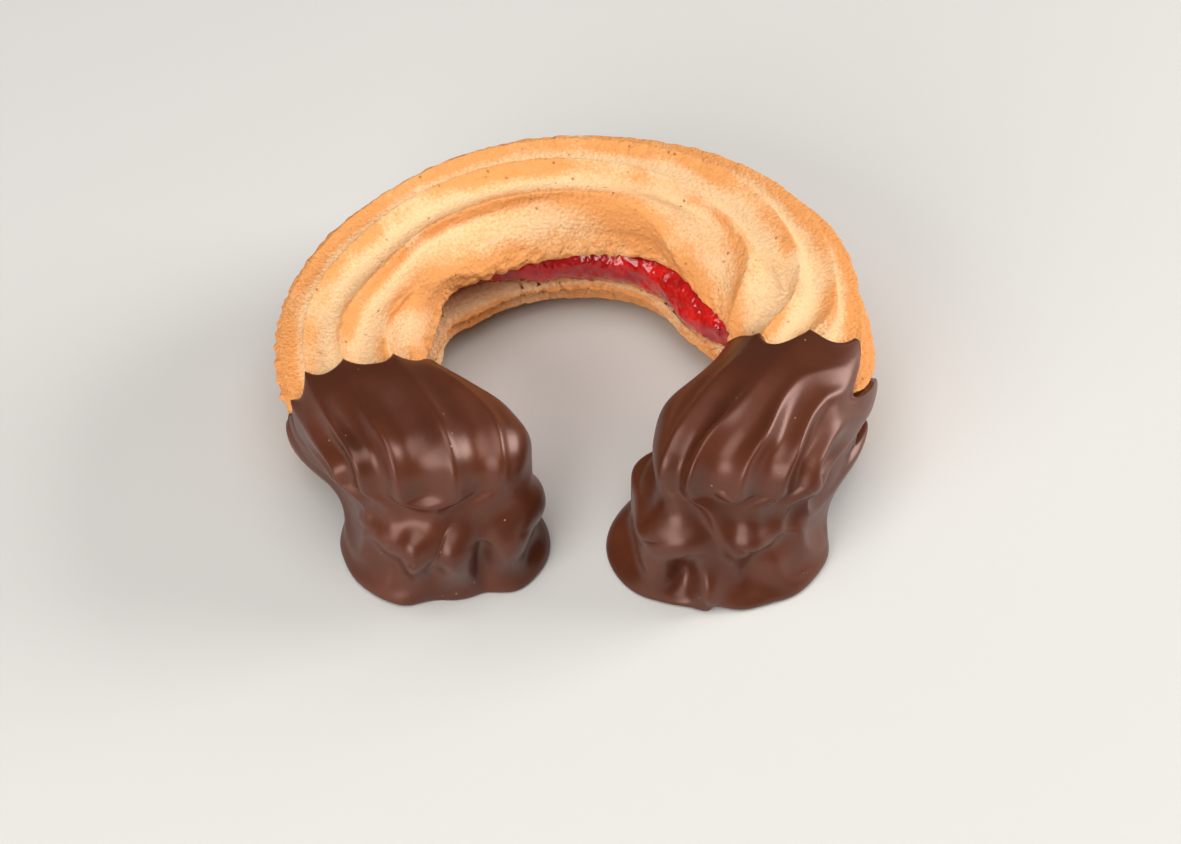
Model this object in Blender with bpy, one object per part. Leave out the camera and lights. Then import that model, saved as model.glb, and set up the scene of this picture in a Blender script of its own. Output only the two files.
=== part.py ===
"""Linzer crescent: two piped star-ridged biscuits, jam between them, both ends dipped in chocolate.

The strand of each biscuit follows one plan curve, clockwise seen from above, from the left end
(negative distance) over the back to the right end (positive distance). Around the strand an angle
runs from the outer side (0) over the top (90 degrees) to the inner side (180) and on below it to
the underside (270). Crests wind round the strand like the thread of a right-handed screw, and a
crest number counts them, so that a whole number is a crest and a half is the middle of a valley.
Metres, +Z up, origin on the ground below the middle of the whole piece.
"""

import bmesh
import bpy
import numpy as np

MM = 0.001
DEG = np.pi / 180

# Plan curve: bend along the strand, where its back stands, and the middle that becomes the origin.
DOUGH_END = 64.4 * MM
RING_RADIUS = 25.6 * MM
SHOULDER_RADIUS = 16.5 * MM
TIP_RADIUS = -60.0 * MM
SHOULDER_RISE = (31.0 * MM, 38.0 * MM)
SHOULDER_FALL = (43.0 * MM, 53.0 * MM)
BACK_Y = 25.9 * MM
MIDDLE = np.array([-0.08, 5.4, 0.0]) * MM
END_FACE_TURN = 14.0 * DEG
END_FACE_RUN = (42.0 * MM, 58.0 * MM)

# Half widths of the strand and the bulges of hand piping: place, length and size in millimetres.
OUTER_HALF = 8.6 * MM
INNER_HALF = 8.2 * MM
TIP_WIDENING = 1.3 * MM
TIP_WIDENING_RUN = (46.0 * MM, 58.0 * MM)
UNDER_COAT_SLIMMING = 0.9 * MM
UNDER_COAT_RUN = (43.0 * MM, 50.0 * MM)
LOWER_NARROWER = 0.7 * MM
OUTER_BULGES = ((-34, 9, 0.3), (-18, 8, -0.5), (20, 11, 1.3), (36, 6, -0.8))
INNER_BULGES = ((-32, 6, 0.9), (-23, 4, -0.8), (13, 9, -1.2), (-57, 6, 3.4), (52, 5, 0.9), (-64, 5, 1.5))
LOWER_OUTER_BULGES = ((-54, 8, -2.2),)
LOWER_INNER_BULGES = ((-46, 6, -1.5), (-54, 6, -2.0), (-12, 9, -0.7), (1, 8, -0.7), (20, 8, 1.6), (45, 5, -1.0))
UPPER_POWER = 2.3
LOWER_POWER = 1.8
END_POWER = 2.7
END_ROUNDING = 9.0 * MM
END_OPENING = 0.3
END_BULGE = 0.4 * MM

# Heights: each flat baked face is a plane that falls towards the back.
UPPER_FLAT = 12.75 * MM
UPPER_TILT = -0.045
UPPER_EQUATOR = 1.5 * MM
UPPER_RISE = 6.4 * MM
LOWER_FLAT = 7.75 * MM
LOWER_TILT = -0.065
LOWER_EQUATOR = 0.8 * MM
LOWER_DROP = 5.25 * MM
FLANK = 20.0 * DEG

# Piped ridges: even steps that turn with the distance, gather at the inner side, crowd at the right.
CREST_STEP = 30.0 * DEG
TWIST_PLACES = np.array([-66, -53, -44, -36, -28, -13, 0, 12, 20, 27, 34, 41, 49, 57, 66]) * MM
TWIST = np.array([40, 40, 50, 62, 74, 81, 86, 91, 100, 109, 118, 125, 138, 158, 172]) * DEG
TWIST_CREST = 5
GATHER = 62.0 * DEG
GATHER_START = 116.0 * DEG
GATHER_TURN = -0.38 * DEG / MM
GATHER_WIDTH = 26.0 * DEG
LAST_FREE_CREST = 4
GATHER_CLEARANCE = 5.0 * DEG
CROWD = 20.0 * DEG
CROWD_FADE = (24.0 * MM, 42.0 * MM)
RIDGE_DEPTH = 1.5 * MM
RIDGE_SHARPNESS = 0.8
RIM_BLEND = 0.25
RIM_SMOOTHING = 0.75
FLANK_FILL = 0.85
FLANK_FILL_ANGLES = (118.0 * DEG, 145.0 * DEG)
LEFT_FILL_FADE = (-38.0 * MM, -26.0 * MM)
RIGHT_FILL_FADE = (37.0 * MM, 45.0 * MM)
UPPER_CUTS = (0.0, 0.2, 0.5, 0.8)
LOWER_CUTS = (0.0, 0.3, 0.7)
UPPER_CRESTS = (-3, 12)
LOWER_CRESTS = (3, 18)
RIM_SNAP = 2.5 * DEG

# Jam.
JAM_GAP = 0.3 * MM
JAM_END = 60.0 * MM
JAM_SIDES = 14
JAM_OUTER_SETBACK = 1.6 * MM
JAM_INNER_SETBACK = 0.3 * MM
JAM_HIDDEN_SETBACK = 3.2 * MM
JAM_SHOWS_FROM = (-14.0 * MM, -3.0 * MM)
JAM_SHOWS_TO = (18.0 * MM, 30.0 * MM)

# Chocolate: where its edge lies on each side, by the angle round the strand.
COAT_GAP = 0.4 * MM
COAT_THICKNESS = 0.95 * MM
COAT_LIP = 0.35 * MM
COAT_LIP_RUN = (0.0, 0.09)
COAT_RIDGES = 0.75
LINING_RIDGES = 0.8
COAT_OPENING = 0.45
FRONT_LOBE = 0.5 * MM
FRONT_GROOVE = 0.4 * MM
LEFT_EDGE = -45.0 * MM
LEFT_EDGE_ANGLES = np.array([0, 45, 70, 100, 125, 180, 260, 330]) * DEG
LEFT_EDGE_SHIFT = np.array([0.2, 1.0, 0.2, -1.6, -2.0, -3.2, -3.0, -1.0]) * MM
RIGHT_EDGE = 42.0 * MM
RIGHT_EDGE_ANGLES = np.array([0, 38, 46, 55, 86, 98, 115, 135, 180, 260, 330]) * DEG
RIGHT_EDGE_SHIFT = np.array([-0.8, 2.2, 1.8, -1.0, -1.0, 1.2, 0.6, -2.0, -3.6, -1.0, 0.0]) * MM
EDGE_FADE = 12.0 * MM
SCALLOP = 1.2 * MM

# Feet: chocolate that ran down to the ground and spread to the outer side, the inner side and the front.
FOOT_TOP = 8.0 * MM
FOOT_CURVE = 1.2
LEFT_FOOT = (3.6 * MM, 2.6 * MM, 0.2 * MM)
RIGHT_FOOT = (2.8 * MM, 7.2 * MM, 0.5 * MM)
FOOT_RUN = (48.5 * MM, 56.0 * MM)
FOOT_FRONT = (58.0 * MM, 65.0 * MM)
FOOT_SINES = (0.15, 0.8)
FOOT_SQUARENESS = 2.0
FOOT_CUT_OFF = 0.8 * MM
FOOT_OPENING = 0.7
FOOT_SMOOTHING = 0.6

# Rows along the strand.
OPEN_ROWS = 32
COAT_ROWS = 12
JAM_ROWS = 30

SHARP_EDGE = 50.0 * DEG
DOUBLES = 0.02 * MM
COLOURS = {
    "upper_biscuit": ((0.82, 0.52, 0.26, 1), 0.85),
    "lower_biscuit": ((0.82, 0.55, 0.30, 1), 0.85),
    "jam": ((0.42, 0.01, 0.012, 1), 0.15),
    "chocolate_left": ((0.085, 0.030, 0.018, 1), 0.32),
    "chocolate_right": ((0.085, 0.030, 0.018, 1), 0.32),
}


def ease(value, low, high):
    """0 below low, 1 above high and a smooth step between."""
    t = np.clip((value - low) / (high - low), 0, 1)
    return t * t * (3 - 2 * t)


def bulges(distance, rows):
    """Sum of bell-shaped bulges, each a place, a length and a size in millimetres."""
    return sum(size * MM * np.exp(-(((distance - place * MM) / (length * MM)) ** 2)) for place, length, size in rows)


def signed_power(value, power):
    return np.sign(value) * np.abs(value) ** power


def running_sum(rate, distance):
    """Integral of the rate along the distance by the trapezoid rule, zero at the back."""
    steps = (rate[1:] + rate[:-1]) / 2 * np.diff(distance)
    total = np.concatenate([[0.0], np.cumsum(steps)])
    return total - np.interp(0.0, distance, total)


def plan_curve():
    """Samples of distance, x, y and heading, from the bend added up along the strand."""
    distance = np.linspace(-1.25, 1.25, 3301) * DOUGH_END
    away = np.abs(distance)
    bend = 1 / RING_RADIUS + (1 / SHOULDER_RADIUS - 1 / RING_RADIUS) * ease(away, *SHOULDER_RISE)
    bend = bend + (1 / TIP_RADIUS - 1 / SHOULDER_RADIUS) * ease(away, *SHOULDER_FALL)
    heading = running_sum(bend, distance)
    return distance, running_sum(np.cos(heading), distance), running_sum(-np.sin(heading), distance) + BACK_Y, heading


CURVE = plan_curve()


def station(distance):
    """Plan position at a distance and the unit direction across the strand, outwards."""
    x, y, heading = (np.interp(distance, CURVE[0], row) for row in CURVE[1:])
    across = heading - np.sign(distance) * END_FACE_TURN * ease(np.abs(distance), *END_FACE_RUN)
    return x, y, np.sin(across), np.cos(across)


def half_widths(distance, lower):
    """Outer and inner half width of the strand."""
    away = np.abs(distance)
    wider = TIP_WIDENING * ease(away, *TIP_WIDENING_RUN)
    slimmer = UNDER_COAT_SLIMMING * ease(away, *UNDER_COAT_RUN)
    outer = OUTER_HALF + bulges(distance, OUTER_BULGES) + 0.4 * wider - slimmer
    inner = INNER_HALF + bulges(distance, INNER_BULGES) + wider - slimmer
    if lower:
        outer = outer - LOWER_NARROWER + bulges(distance, LOWER_OUTER_BULGES)
        inner = inner - 0.5 * LOWER_NARROWER + bulges(distance, LOWER_INNER_BULGES)
    return outer, inner


def rounding(distance, end, opening):
    """Scale of the section towards a blunt end: 1 along the strand, the opening at the end."""
    t = np.clip((np.abs(distance) - (end - END_ROUNDING)) / END_ROUNDING, 0, 1)
    return opening + (1 - opening) * (1 - t**END_POWER) ** (1 / END_POWER)


def flat_height(y, lower):
    return LOWER_FLAT + LOWER_TILT * y if lower else UPPER_FLAT + UPPER_TILT * y


def crest_angle(number, distance, lower):
    """Angle round the strand of a crest number at a distance."""
    angle = CREST_STEP * (number - TWIST_CREST) + np.interp(distance, TWIST_PLACES, TWIST)
    if lower:
        return angle
    last_free = CREST_STEP * (LAST_FREE_CREST - TWIST_CREST) + np.interp(distance, TWIST_PLACES, TWIST)
    start = np.maximum(GATHER_START + GATHER_TURN * distance, last_free + GATHER_CLEARANCE)
    gathered = GATHER * ease(angle, start, start + GATHER_WIDTH)
    crowded = CROWD * ease(distance, *CROWD_FADE) * (1 - ease(angle, 45 * DEG, 105 * DEG))
    return angle + gathered + crowded


def crest_number(angle, distance, lower):
    """Crest number at an angle, looked up in a table of crest angles at each distance."""
    table = np.linspace(-8, 24, 641)
    angle, distance = np.broadcast_arrays(angle, distance)
    pairs = zip(angle.ravel(), distance.ravel())
    return np.reshape([np.interp(a, crest_angle(table, d, lower), table) for a, d in pairs], angle.shape)


def ridge_cut(angle, number, distance, lower):
    """Depth of the surface below the crests: zero at a crest, deepest in mid valley, more in a wide one,
    less on the full inner flank beside each end."""
    first = np.floor(number)
    width = crest_angle(first + 1, distance, lower) - crest_angle(first, distance, lower)
    deep = np.clip(width / CREST_STEP, 0.45, 1.3)
    if not lower:
        beside = 1 - ease(distance, *LEFT_FILL_FADE) + ease(distance, *RIGHT_FILL_FADE)
        deep = deep * (1 - FLANK_FILL * ease(angle, *FLANK_FILL_ANGLES) * beside)
    return RIDGE_DEPTH * deep * np.abs(np.sin(np.pi * (number - first))) ** RIDGE_SHARPNESS


def biscuit_point(angle, number, distance, lower, grow=0.0, ridges=1.0, end=DOUGH_END, standing=False):
    """Point of a biscuit's skin, grown outwards: a flattened superellipse on a flat baked face, rounded
    off at the end. Standing, it turns into a broad block that goes down to the ground."""
    x, y, across_x, across_y = station(distance)
    small = rounding(distance, end, COAT_OPENING if end > DOUGH_END else END_OPENING)
    outer, inner = half_widths(distance, lower)
    cosine, sine = np.cos(angle), np.sin(angle)
    up = -1.0 if lower else 1.0
    half = np.where(cosine > 0, outer, inner) + grow
    reach = (LOWER_DROP if lower else UPPER_RISE) + grow
    equator = LOWER_EQUATOR if lower else UPPER_EQUATOR
    base = flat_height(y, lower) + up * equator
    block = ease(np.abs(distance), *FOOT_RUN) if standing else 0.0
    foot = block * ease(np.abs(sine), *FOOT_SINES)
    power = 2 / ((LOWER_POWER if lower else UPPER_POWER) + FOOT_SQUARENESS * block)
    reach = reach + (base + FOOT_CUT_OFF - reach) * block
    small_up = small + (1 - small) * block
    small = small + (rounding(distance, end, FOOT_OPENING) - small) * foot
    across = half * signed_power(cosine, power)
    domed = sine * up > 0
    rise = np.where(domed, reach * np.abs(sine) ** power, -equator * np.abs(sine) / np.sin(FLANK))
    at_rim = ease(-sine * up, -RIM_BLEND, np.sin(FLANK))
    cut = ridge_cut(angle, number, distance, lower) * ridges
    cut = cut * (1 - RIM_SMOOTHING * at_rim) * (1 - FOOT_SMOOTHING * foot)
    keep = 1 - cut / np.hypot(across, np.where(domed, rise, 0.0))
    across = across * keep * small
    rise = np.where(domed, rise * keep * small_up, rise)
    return np.stack([x + across_x * across, y + across_y * across, base + up * rise], axis=-1)


def valley_columns(lower):
    """Crest numbers of the mesh columns: each crest and the cuts of the valley after it."""
    first, last = LOWER_CRESTS if lower else UPPER_CRESTS
    cuts = LOWER_CUTS if lower else UPPER_CUTS
    return np.array([crest + cut for crest in range(first, last) for cut in cuts] + [float(last)])


def edge_shift(row, angle, number):
    """How far the rows move along the strand, so that one of them is the chocolate's edge: further
    out in the valleys, and fading towards the end and towards the open part of the strand."""
    shift = np.zeros_like(angle)
    for side, edge, places, sizes in (
        (-1, LEFT_EDGE, LEFT_EDGE_ANGLES, LEFT_EDGE_SHIFT),
        (1, RIGHT_EDGE, RIGHT_EDGE_ANGLES, RIGHT_EDGE_SHIFT),
    ):
        wanted = np.interp(angle, places, sizes, period=360 * DEG)
        wanted = wanted + side * SCALLOP * np.abs(np.sin(np.pi * number)) ** 0.7
        past = side * (row - edge)
        fade = np.where(past > 0, 1 - past / (DOUGH_END - side * edge), 1 + past / EDGE_FADE)
        shift = shift + wanted * np.clip(fade, 0, 1)
    return shift


def skin_grid(rows, lower):
    """Angle, crest number and distance of the mesh points, held at the rims of the flat face."""
    low, high = (180 * DEG - FLANK, 360 * DEG + FLANK) if lower else (-FLANK, 180 * DEG + FLANK)
    rows = rows[:, None]
    angle = crest_angle(valley_columns(lower)[None, :], rows, lower)
    number = np.broadcast_to(valley_columns(lower), angle.shape)
    under = angle < low + RIM_SNAP
    over = angle > high - RIM_SNAP
    angle = np.where(under, low, np.where(over, high, angle))
    low_number = crest_number(np.full(rows.shape, low), rows, lower)
    high_number = crest_number(np.full(rows.shape, high), rows, lower)
    number = np.where(under, low_number, np.where(over, high_number, number))
    distance = rows + edge_shift(rows, angle, number)
    angle = np.where(under | over, angle, np.clip(crest_angle(number, distance, lower), low, high))
    return angle, number, distance


class Skin:
    """Vertices and triangles of a closed skin, grown ring by ring and closed by fans."""

    def __init__(self):
        self.points = []
        self.faces = []

    def add(self, points):
        """Keeps the points and returns their numbers."""
        first = len(self.points)
        self.points += [tuple(point) for point in points]
        return np.arange(first, len(self.points))

    def strip(self, ring, other, mirrored=False, whole=False):
        """Band between two rings, of triangles along one diagonal or the other, or of whole quads."""
        for a, b, c, d in zip(ring, np.roll(ring, -1), np.roll(other, -1), other):
            if whole:
                self.faces += [(a, b, c, d)]
            else:
                self.faces += [(a, b, d), (b, c, d)] if mirrored else [(a, b, c), (a, c, d)]

    def fan(self, loop, push):
        """Fan over a closed loop, its middle pushed out."""
        middle = np.mean([self.points[i] for i in loop], axis=0) + push
        centre = self.add([middle])[0]
        self.faces += [(a, b, centre) for a, b in zip(loop, np.roll(loop, -1))]


def tube(rings, push, end_rows):
    """Closed skin through the rings, with a fan pushed out at each end and fixed diagonals in its end rows."""
    skin = Skin()
    numbers = [skin.add(ring) for ring in rings]
    for row, (ring, other) in enumerate(zip(numbers, numbers[1:]), 1):
        skin.strip(ring, other, whole=end_rows <= row <= len(rings) - end_rows)
    skin.fan(numbers[0], push * end_direction(-1))
    skin.fan(numbers[-1], push * end_direction(1))
    return skin


def add_body(name, skin, collection):
    """Object of one closed skin: doubles merged, faces turned outwards, shaded smooth."""
    mesh = bpy.data.meshes.new(name)
    points = np.array(skin.points) - MIDDLE
    mesh.from_pydata(points.tolist(), [], [tuple(int(i) for i in face) for face in skin.faces])
    work = bmesh.new()
    work.from_mesh(mesh)
    bmesh.ops.remove_doubles(work, verts=work.verts, dist=DOUBLES)
    bmesh.ops.dissolve_degenerate(work, edges=work.edges, dist=0.5 * DOUBLES)
    bmesh.ops.triangulate(work, faces=work.faces)
    bmesh.ops.recalc_face_normals(work, faces=work.faces)
    if work.calc_volume(signed=True) < 0:
        bmesh.ops.reverse_faces(work, faces=work.faces)
    work.to_mesh(mesh)
    work.free()
    mesh.shade_smooth()
    mesh.set_sharp_from_angle(angle=SHARP_EDGE)
    colour, roughness = COLOURS[name]
    material = bpy.data.materials.new(name)
    material.use_nodes = True
    shader = material.node_tree.nodes["Principled BSDF"]
    shader.inputs["Base Color"].default_value = colour
    shader.inputs["Roughness"].default_value = roughness
    shader.inputs["Metallic"].default_value = 0.0
    mesh.materials.append(material)
    body = bpy.data.objects.new(name, mesh)
    collection.objects.link(body)
    return body


def end_direction(side):
    """Unit plan direction along the strand, out of its left (-1) or right (+1) end."""
    heading = np.interp(side * DOUGH_END, CURVE[0], CURVE[3])
    return side * np.array([np.cos(heading), -np.sin(heading), 0.0])


def coat_run():
    """Rows of the coated end as shares of its length, closer together towards the blunt end."""
    return np.concatenate([[0.0, 0.035, 0.085], np.sin(np.linspace(10 * DEG, 90 * DEG, COAT_ROWS - 3))])


def biscuit(name, lower, collection):
    """One piped crescent: ridged dome on one side, flat baked face on the other."""
    left = LEFT_EDGE + (-DOUGH_END - LEFT_EDGE) * coat_run()
    right = RIGHT_EDGE + (DOUGH_END - RIGHT_EDGE) * coat_run()
    rows = np.concatenate([left[::-1], np.linspace(LEFT_EDGE, RIGHT_EDGE, OPEN_ROWS)[1:-1], right])
    angle, number, distance = skin_grid(rows, lower)
    rings = biscuit_point(angle, number, distance, lower)
    return add_body(name, tube(rings, END_BULGE, COAT_ROWS), collection)


def jam(collection):
    """Ribbon of jam between the flat faces, its inner edge swelling out where the gap shows."""
    rows = np.linspace(-JAM_END, JAM_END, JAM_ROWS)[:, None]
    turn = np.linspace(0, 360 * DEG, JAM_SIDES, endpoint=False)[None, :]
    x, y, across_x, across_y = station(rows)
    outer, inner = half_widths(rows, True)
    shows = ease(rows, *JAM_SHOWS_FROM) * (1 - ease(rows, *JAM_SHOWS_TO))
    outer = outer - JAM_OUTER_SETBACK
    inner = inner - JAM_HIDDEN_SETBACK + (JAM_HIDDEN_SETBACK - JAM_INNER_SETBACK) * shows
    low = flat_height(y, True) + JAM_GAP
    high = flat_height(y, False) - JAM_GAP
    edge = 0.5 * (high - low)
    across = np.where(np.cos(turn) > 0, outer - edge, inner - edge) * np.sign(np.cos(turn))
    across = across + edge * signed_power(np.cos(turn), 0.9)
    height = (low + high) / 2 + edge * signed_power(np.sin(turn), 0.8)
    rings = np.stack([x + across_x * across, y + across_y * across, height], axis=-1)
    return add_body("jam", tube(rings, 0.0, 1), collection)


def spread_foot(points, distance, side):
    """Chocolate that ran down: the underside is let down to the ground and spreads outwards."""
    x, y, across_x, across_y = station(distance)
    away = np.abs(distance)
    weight = ease(away, *FOOT_RUN)
    outwards, inwards, forwards = LEFT_FOOT if side < 0 else RIGHT_FOOT
    low = np.clip(1 - points[..., 2] / FOOT_TOP, 0, 1) ** FOOT_CURVE
    across = (points[..., 0] - x) * across_x + (points[..., 1] - y) * across_y
    spread = across + weight * low * np.where(across > 0, outwards, inwards) * across / OUTER_HALF
    forward = end_direction(side)
    along = forwards * low * ease(away, *FOOT_FRONT)
    foot_x = x + across_x * spread + forward[0] * along
    foot_y = y + across_y * spread + forward[1] * along
    return np.stack([foot_x, foot_y, np.maximum(points[..., 2], 0.0)], axis=-1)


def coat_skin(side, grow, ridges, longer, foot):
    """Rings of a skin round both biscuits, from the scalloped edge to the end."""
    edge = LEFT_EDGE if side < 0 else RIGHT_EDGE
    run = coat_run()
    rows = edge + (side * DOUGH_END - edge) * run
    skins = []
    for lower in (False, True):
        angle, number, distance = skin_grid(rows, lower)
        distance = distance + side * longer * run[:, None]
        standing = foot and lower
        skin = biscuit_point(angle, number, distance, lower, grow[:, None], ridges, DOUGH_END + longer, standing)
        skins.append(spread_foot(skin, distance, side) if standing else skin)
    upper, under = skins
    inner_seam = (upper[:, -1:] + under[:, :1]) / 2
    outer_seam = (upper[:, :1] + under[:, -1:]) / 2
    return np.concatenate([upper, inner_seam, under, outer_seam], axis=1), upper.shape[1]


def chocolate(name, side, collection):
    """Thin cup of chocolate over one end: an outer skin, an inner skin and the lip that joins them.
    The front of the outer skin has a lobe over each biscuit and a groove between them."""
    thickness = np.interp(coat_run(), COAT_LIP_RUN, (COAT_LIP, COAT_THICKNESS))
    outer_rings, inner_seam = coat_skin(side, COAT_GAP + thickness, COAT_RIDGES, COAT_GAP + COAT_THICKNESS, True)
    inner_rings, _ = coat_skin(side, np.full(COAT_ROWS, COAT_GAP), LINING_RIDGES, COAT_GAP, False)
    forward = end_direction(side)
    skin = Skin()
    outer = [skin.add(ring) for ring in outer_rings]
    inner = [skin.add(ring) for ring in inner_rings]
    skin.strip(outer[0], inner[0])
    for rings in (outer, inner):
        for ring, other in zip(rings, rings[1:]):
            skin.strip(ring, other, mirrored=side < 0)
    skin.fan(inner[-1], END_BULGE * forward)
    front = outer[-1]
    seams = outer_rings[-1][[inner_seam, -1]]
    groove = skin.add(seams[0] + (seams[1] - seams[0]) * t - FRONT_GROOVE * forward for t in (0.33, 0.67))
    skin.fan(np.concatenate([front[-1:], front[: inner_seam + 1], groove]), FRONT_LOBE * forward)
    skin.fan(np.concatenate([front[inner_seam:], groove[::-1]]), FRONT_LOBE * forward)
    return add_body(name, skin, collection)


def main():
    for old in list(bpy.data.objects):
        bpy.data.objects.remove(old)
    collection = bpy.data.collections.new("linzer_crescent_cookie")
    bpy.context.scene.collection.children.link(collection)
    biscuit("upper_biscuit", False, collection)
    biscuit("lower_biscuit", True, collection)
    jam(collection)
    chocolate("chocolate_left", -1, collection)
    chocolate("chocolate_right", 1, collection)


main()
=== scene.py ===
"""Linzer crescent: the fine surfaces, finishes, light and camera for the packed model.

Every piece is a closed skin of rings. A ring goes round the strand, and the rings follow one another
along it, so that a skin is a function of two parameters: an angle round the strand (0 on the outer
side, 90 degrees on top, 180 on the inner side, 270 below) and a distance along it (negative on the
left, zero at the back, positive on the right). Crests wind round the strand, and a crest number
counts them: a whole number is a crest and a half is the middle of a valley.
Metres, +Z up, in the same frame as the packed model.
"""

import bpy
import numpy as np
from mathutils import Matrix


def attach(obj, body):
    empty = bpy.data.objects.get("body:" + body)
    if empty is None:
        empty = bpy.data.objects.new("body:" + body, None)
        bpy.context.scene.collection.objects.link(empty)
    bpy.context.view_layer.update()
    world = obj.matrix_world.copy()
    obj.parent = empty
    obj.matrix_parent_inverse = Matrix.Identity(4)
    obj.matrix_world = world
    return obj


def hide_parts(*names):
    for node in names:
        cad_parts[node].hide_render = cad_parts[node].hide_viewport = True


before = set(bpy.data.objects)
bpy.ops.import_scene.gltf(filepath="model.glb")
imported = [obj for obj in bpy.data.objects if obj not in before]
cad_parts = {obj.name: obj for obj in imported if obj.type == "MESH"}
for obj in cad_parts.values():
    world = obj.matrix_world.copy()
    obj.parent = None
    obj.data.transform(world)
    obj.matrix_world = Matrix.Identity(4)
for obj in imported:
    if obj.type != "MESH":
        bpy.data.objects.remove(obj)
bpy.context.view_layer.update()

bl_info = {
    "name": "Linzer Crescent",
    "version": (1, 0, 0),
    "blender": (4, 5, 0),
    "location": "View3D > Sidebar > Crescent",
    "description": "Fine surfaces, finishes, light and camera of a filled crescent biscuit",
    "category": "Add Mesh",
}

MM = 0.001
DEG = np.pi / 180

# Plan curve and the strand's sections. A bulge is a place, a length and a size in millimetres.
DOUGH_END = 64.4 * MM
CURVE_REACH = 1.25
CURVE_SAMPLES = 3301
RING_RADIUS = 25.6 * MM
SHOULDER_RADIUS = 16.5 * MM
TIP_RADIUS = -60.0 * MM
SHOULDER_RISE = (31.0 * MM, 38.0 * MM)
SHOULDER_FALL = (43.0 * MM, 53.0 * MM)
BACK_Y = 25.9 * MM
MIDDLE = np.array([-0.08, 5.4, 0.0]) * MM
END_FACE_TURN = 14.0 * DEG
END_FACE_RUN = (42.0 * MM, 58.0 * MM)
OUTER_HALF = 8.6 * MM
INNER_HALF = 8.2 * MM
TIP_WIDENING = 1.3 * MM
TIP_WIDENING_RUN = (46.0 * MM, 58.0 * MM)
OUTER_TIP_SHARE = 0.4
UNDER_COAT_SLIMMING = 0.9 * MM
UNDER_COAT_RUN = (43.0 * MM, 50.0 * MM)
LOWER_NARROWER = 0.7 * MM
LOWER_INNER_SHARE = 0.5
OUTER_BULGES = ((-34, 9, 0.3), (-18, 8, -0.5), (20, 11, 1.3), (36, 6, -0.8))
INNER_BULGES = ((-32, 6, 0.9), (-23, 4, -0.8), (13, 9, -1.2), (-57, 6, 3.4), (52, 5, 0.9), (-64, 5, 1.5))
LOWER_OUTER_BULGES = ((-54, 8, -2.2),)
LOWER_INNER_BULGES = (
    (-46, 6, -1.5),
    (-54, 6, -2.0),
    (-12, 9, -0.7),
    (1, 8, -0.7),
    (20, 8, 1.6),
    (45, 5, -1.0),
)
UPPER_POWER = 2.3
LOWER_POWER = 1.8
END_POWER = 2.7
END_ROUNDING = 9.0 * MM
DOUGH_OPENING = 0.3
COAT_OPENING = 0.02
UPPER_FLAT = 12.75 * MM
UPPER_TILT = -0.045
UPPER_EQUATOR = 1.5 * MM
UPPER_RISE = 6.4 * MM
LOWER_FLAT = 7.75 * MM
LOWER_TILT = -0.065
LOWER_EQUATOR = 0.8 * MM
LOWER_DROP = 5.25 * MM
FLANK = 20.0 * DEG

# Piped ridges: their turn along the strand, where they gather and crowd, and their depth.
CREST_STEP = 30.0 * DEG
CREST_SEARCH = (-10.0, 26.0)
HALVINGS = 26
TWIST_PLACES = np.array([-66, -53, -44, -36, -28, -13, 0, 12, 20, 27, 34, 38, 42, 49, 57, 66]) * MM
TWIST = np.array([40, 40, 50, 62, 74, 81, 86, 91, 100, 109, 118, 132, 158, 150, 158, 172]) * DEG
TWIST_CREST = 5
TWIST_SOFTNESS = 4.0 * MM
TWIST_SAMPLES = 501
TWISTS_AVERAGED = 9
GATHER = 62.0 * DEG
GATHER_START = 116.0 * DEG
GATHER_TURN = -0.38 * DEG / MM
GATHER_WIDTH = 26.0 * DEG
LAST_FREE_CREST = 4
GATHER_CLEARANCE = 5.0 * DEG
CROWDS = (
    (-17.0 * DEG, (34.0 * MM, 41.0 * MM), (42.0 * MM, 48.0 * MM)),
    (20.0 * DEG, (44.0 * MM, 50.0 * MM), (51.0 * MM, 63.0 * MM)),
)
CROWD_ANGLES = (45.0 * DEG, 105.0 * DEG)
RIDGE_DEPTH = 1.5 * MM
RIDGE_SHARPNESS = 0.8
DEPTH_LIMITS = (0.45, 1.3)
CREST_ROUNDING = 0.12
COAT_CREST_ROUNDING = 0.2
RIM_BLEND = 0.25
RIM_SMOOTHING = 0.75
FLANK_FILL = 0.85
FLANK_FILL_ANGLES = (118.0 * DEG, 145.0 * DEG)
LEFT_FILL_FADE = (-38.0 * MM, -26.0 * MM)
RIGHT_FILL_FADE = (37.0 * MM, 45.0 * MM)

# Relief and browning of the dough. CRUMB_SHARES is the crumb's strength everywhere, along the crests and
# at the rim; the toasts are shares of browning.
GRAIN_LAYERS = 2
SOFT_SIZE = 5.0 * MM
SOFT_HEIGHT = 0.07 * MM
SOFT_SEED = 23
CRUMB_SIZE = 0.8 * MM
CRUMB_SHARES = (0.2, 0.6, 1.4)
CRUMB_SEED = 11
RIM_SINES = (-0.1, 0.45)
EDGE_SINES = (-0.1, 0.2)
BAND_OFFSET = 0.07
BAND_WIDTH = 0.25
BAND_TOASTS = (0.75, 0.5)
UPPER_RIM_TOAST = 0.5
LOWER_RIM_TOAST = 0.2
SOFT_TOAST = 0.15
SIDE_TOAST = 0.4
OUTER_SIDE_ANGLES = (10.0 * DEG, 75.0 * DEG)
INNER_SIDE_ANGLES = (105.0 * DEG, 150.0 * DEG)
INNER_SIDE_SHARE = 0.5

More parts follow.
